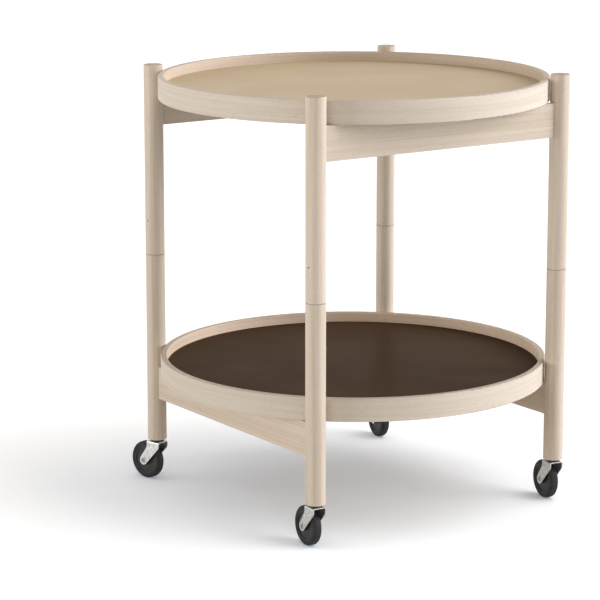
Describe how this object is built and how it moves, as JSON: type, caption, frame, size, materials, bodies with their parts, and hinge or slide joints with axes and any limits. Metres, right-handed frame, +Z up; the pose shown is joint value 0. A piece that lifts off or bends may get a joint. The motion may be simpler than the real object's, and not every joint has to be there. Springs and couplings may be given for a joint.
{
  "type": "tray table",
  "caption": "Round tray table on castors: loose reversible trays, a tan one above a brown one, in a square frame of pale round legs split at mid height.",
  "frame": {"origin": "on the floor, under the common centre of the two trays", "axes": "+Z up, +X along the top rails, +Y along the bottom rails, towards the back"},
  "size_m": [0.5, 0.5, 0.5567],
  "materials": {
    "maple": "pale solid wood, matt oiled",
    "tan_laminate": "matt tan laminate",
    "brown_laminate": "matt dark brown laminate",
    "plywood": "plain sawn core",
    "dowel_wood": "turned, unfinished",
    "pressed_steel": "bright zinc plate, satin",
    "turned_steel": "turned steel",
    "black_nylon": "moulded black nylon",
    "hub_plastic": "moulded black plastic",
    "tyre_rubber": "soft black tread"
  },
  "bodies": {
    "frame": {"front_top_rail": "maple", "back_top_rail": "maple", "left_bottom_rail": "maple", "right_bottom_rail": "maple", "front_left_upper_leg": "maple", "front_left_lower_leg": "maple", "front_left_pivot_pin": "turned_steel", "front_left_castor_socket": "black_nylon", "front_right_upper_leg": "maple", "front_right_lower_leg": "maple", "front_right_pivot_pin": "turned_steel", "front_right_castor_socket": "black_nylon", "back_left_upper_leg": "maple", "back_left_lower_leg": "maple", "back_left_pivot_pin": "turned_steel", "back_left_castor_socket": "black_nylon", "back_right_upper_leg": "maple", "back_right_lower_leg": "maple", "back_right_pivot_pin": "turned_steel", "back_right_castor_socket": "black_nylon", "pin_screws": "turned_steel", "rail_dowels": "dowel_wood"},
    "upper_tray": {"upper_tray_rim": "maple", "upper_tray_core": "plywood", "upper_tray_top_face": "tan_laminate", "upper_tray_under_face": "brown_laminate"},
    "lower_tray": {"lower_tray_rim": "maple", "lower_tray_core": "plywood", "lower_tray_top_face": "brown_laminate", "lower_tray_under_face": "tan_laminate"},
    "front_left_castor": {"front_left_castor_fork": "pressed_steel", "front_left_castor_stem": "turned_steel", "front_left_castor_axle": "turned_steel", "front_left_castor_washer": "black_nylon"},
    "front_left_wheel": {"front_left_castor_wheel_core": "hub_plastic", "front_left_castor_tyre": "tyre_rubber"},
    "front_right_castor": {"front_right_castor_fork": "pressed_steel", "front_right_castor_stem": "turned_steel", "front_right_castor_axle": "turned_steel", "front_right_castor_washer": "black_nylon"},
    "front_right_wheel": {"front_right_castor_wheel_core": "hub_plastic", "front_right_castor_tyre": "tyre_rubber"},
    "back_left_castor": {"back_left_castor_fork": "pressed_steel", "back_left_castor_stem": "turned_steel", "back_left_castor_axle": "turned_steel", "back_left_castor_washer": "black_nylon"},
    "back_left_wheel": {"back_left_castor_wheel_core": "hub_plastic", "back_left_castor_tyre": "tyre_rubber"},
    "back_right_castor": {"back_right_castor_fork": "pressed_steel", "back_right_castor_stem": "turned_steel", "back_right_castor_axle": "turned_steel", "back_right_castor_washer": "black_nylon"},
    "back_right_wheel": {"back_right_castor_wheel_core": "hub_plastic", "back_right_castor_tyre": "tyre_rubber"}
  },
  "joints": [
    {"name": "upper_tray_lift", "type": "slide", "parent": "frame", "child": "upper_tray", "axis": [0, 0, 1], "range_m": [0, 0.15]},
    {"name": "lower_tray_lift", "type": "slide", "parent": "frame", "child": "lower_tray", "axis": [0, 0, 1], "range_m": [0, 0.285]},
    {"name": "front_left_swivel", "type": "hinge", "parent": "frame", "child": "front_left_castor", "pos_m": [-0.18632, -0.18632, 0.0564], "axis": [0, 0, 1], "continuous": true},
    {"name": "front_left_wheel_spin", "type": "hinge", "parent": "front_left_castor", "child": "front_left_wheel", "pos_m": [-0.18494, -0.16878, 0.025], "axis": [-0.9969, 0.0785, 0], "continuous": true},
    {"name": "front_right_swivel", "type": "hinge", "parent": "frame", "child": "front_right_castor", "pos_m": [0.18632, -0.18632, 0.0564], "axis": [0, 0, 1], "continuous": true},
    {"name": "front_right_wheel_spin", "type": "hinge", "parent": "front_right_castor", "child": "front_right_wheel", "pos_m": [0.18938, -0.16899, 0.025], "axis": [-0.9848, 0.1736, 0], "continuous": true},
    {"name": "back_left_swivel", "type": "hinge", "parent": "frame", "child": "back_left_castor", "pos_m": [-0.18632, 0.18632, 0.0564], "axis": [0, 0, 1], "continuous": true},
    {"name": "back_left_wheel_spin", "type": "hinge", "parent": "back_left_castor", "child": "back_left_wheel", "pos_m": [-0.19103, 0.20328, 0.025], "axis": [-0.9636, -0.2672, 0], "continuous": true},
    {"name": "back_right_swivel", "type": "hinge", "parent": "frame", "child": "back_right_castor", "pos_m": [0.18632, 0.18632, 0.0564], "axis": [0, 0, 1], "continuous": true},
    {"name": "back_right_wheel_spin", "type": "hinge", "parent": "back_right_castor", "child": "back_right_wheel", "pos_m": [0.18938, 0.20366, 0.025], "axis": [-0.9848, 0.1736, 0], "continuous": true}
  ]
}
